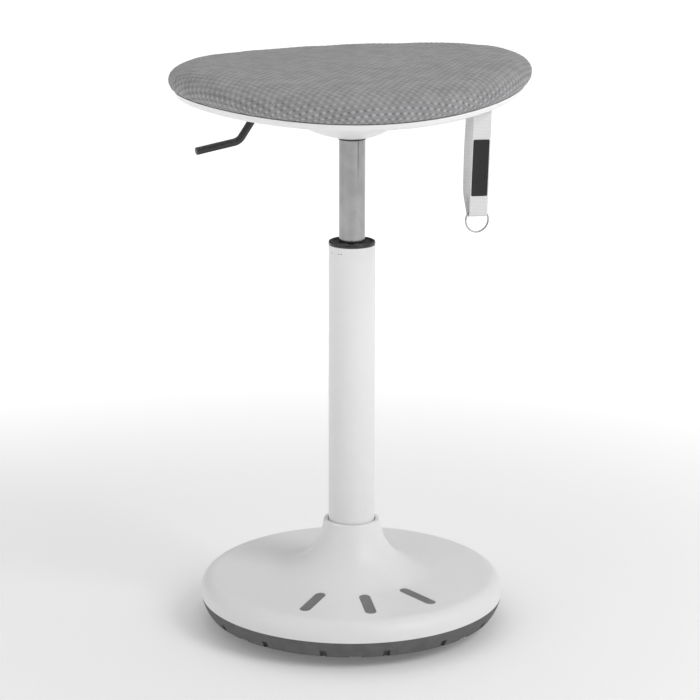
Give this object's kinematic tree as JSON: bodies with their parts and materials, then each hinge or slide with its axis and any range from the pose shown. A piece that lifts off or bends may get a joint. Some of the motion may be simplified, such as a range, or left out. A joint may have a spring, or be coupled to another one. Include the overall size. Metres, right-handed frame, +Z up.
{
  "type": "wobble stool",
  "caption": "Height-adjustable wobble stool: weighted round base with a domed tread, white gas-lift column, padded round saddle seat, release lever and hanging strap with a ring.",
  "frame": {"origin": "on the floor, centre of the flat pad under the base, on the column's axis", "axes": "+Z up along the column, +X to the picture's right, +Y away from the viewer"},
  "size_m": [0.3819, 0.3818, 0.6242],
  "materials": {
    "tread_rubber": "matt moulded",
    "ballast_iron": "rough cast",
    "socket_steel": "black powder coat",
    "cover_white": "fine satin",
    "zinc_hardware": "zinc plated",
    "column_white": "satin powder coat",
    "bearing_steel": "polished",
    "black_plastic": "satin",
    "tube_steel": "ground steel",
    "black_rubber": "matt",
    "pan_black": "black powder coat",
    "board_wood": "bare plywood",
    "seat_foam": "cut foam",
    "seat_mesh": "grey spacer mesh with rows of dimples",
    "shell_white": "fine satin",
    "lever_black": "satin black",
    "strap_white": "woven webbing",
    "label_black": "plain woven patch",
    "ring_chrome": "polished wire",
    "inlay_grey": "matt"
  },
  "bodies": {
    "base": {"base_tread": "tread_rubber", "ballast_plate": "ballast_iron", "column_socket": "socket_steel", "socket_bolt_1": "zinc_hardware", "socket_bolt_2": "zinc_hardware", "socket_bolt_3": "zinc_hardware", "socket_bolt_4": "zinc_hardware", "socket_nut_1": "zinc_hardware", "socket_nut_2": "zinc_hardware", "socket_nut_3": "zinc_hardware", "socket_nut_4": "zinc_hardware", "base_cover": "cover_white", "cover_screws": "zinc_hardware", "cover_inlay_1": "inlay_grey", "cover_inlay_2": "inlay_grey", "cover_inlay_3": "inlay_grey", "column_tube": "column_white", "column_foot_plate": "socket_steel", "lower_bearing_washer": "bearing_steel", "column_collar": "black_plastic", "guide_bush": "black_plastic"},
    "cage": {"ball_cage": "black_plastic", "bearing_balls": "bearing_steel"},
    "rod": {"piston_rod": "tube_steel", "rod_clip": "zinc_hardware", "upper_bearing_washer": "bearing_steel", "end_bumper": "black_rubber", "piston_head": "socket_steel", "piston_seal": "black_rubber", "piston_nut": "zinc_hardware"},
    "seat": {"pressure_tube": "tube_steel", "rod_guide": "black_plastic", "rod_seal": "black_rubber", "valve_body": "socket_steel", "taper_socket": "black_plastic", "mounting_pan": "pan_black", "lever_bracket": "pan_black", "lever_pin": "zinc_hardware", "seat_screw_1": "zinc_hardware", "seat_screw_2": "zinc_hardware", "seat_screw_3": "zinc_hardware", "seat_screw_4": "zinc_hardware", "tee_nut_1": "zinc_hardware", "tee_nut_2": "zinc_hardware", "tee_nut_3": "zinc_hardware", "tee_nut_4": "zinc_hardware", "shell_screw_1": "zinc_hardware", "shell_screw_2": "zinc_hardware", "shell_screw_3": "zinc_hardware", "shell_screw_4": "zinc_hardware", "seat_board": "board_wood", "seat_foam": "seat_foam", "seat_cover": "seat_mesh", "seat_shell": "shell_white"},
    "pin": {"release_pin": "zinc_hardware"},
    "lever": {"release_lever": "lever_black"},
    "strap": {"carry_strap": "strap_white", "strap_label": "label_black"},
    "ring": {"key_ring": "ring_chrome"}
  },
  "joints": [
    {"name": "seat_swivel", "type": "hinge", "parent": "base", "child": "rod", "pos_m": [0, 0, 0.04], "axis": [0, 0, 1], "continuous": true},
    {"name": "bearing_cage_turn", "type": "hinge", "parent": "base", "child": "cage", "pos_m": [0, 0, 0.042], "axis": [0, 0, 1], "continuous": true},
    {"name": "seat_lift", "type": "slide", "parent": "rod", "child": "seat", "axis": [0, 0, 1], "range_m": [-0.09, 0.11]},
    {"name": "lever_lift", "type": "hinge", "parent": "seat", "child": "lever", "pos_m": [-0.03472, -0.01546, 0.572], "axis": [-0.4067, 0.9135, 0], "range_deg": [0, 4], "stiffness_Nm_per_rad": 1.5},
    {"name": "release_pin_travel", "type": "slide", "parent": "seat", "child": "pin", "axis": [0, 0, 1], "range_m": [-0.0028, 0]},
    {"name": "strap_swing", "type": "hinge", "parent": "seat", "child": "strap", "pos_m": [0.12847, -0.09198, 0.58049], "axis": [0.9506, 0.3089, -0.0314], "range_deg": [-11, 12]},
    {"name": "ring_swing", "type": "hinge", "parent": "strap", "child": "ring", "pos_m": [0.1276, -0.10004, 0.47497], "axis": [0.9506, 0.3089, -0.0314], "range_deg": [-25, 4]}
  ],
  "couplings": [
    {"joint": "bearing_cage_turn", "follows": "seat_swivel", "ratio": 0.5},
    {"joint": "release_pin_travel", "follows": "lever_lift", "m_per_rad": -0.0385}
  ]
}
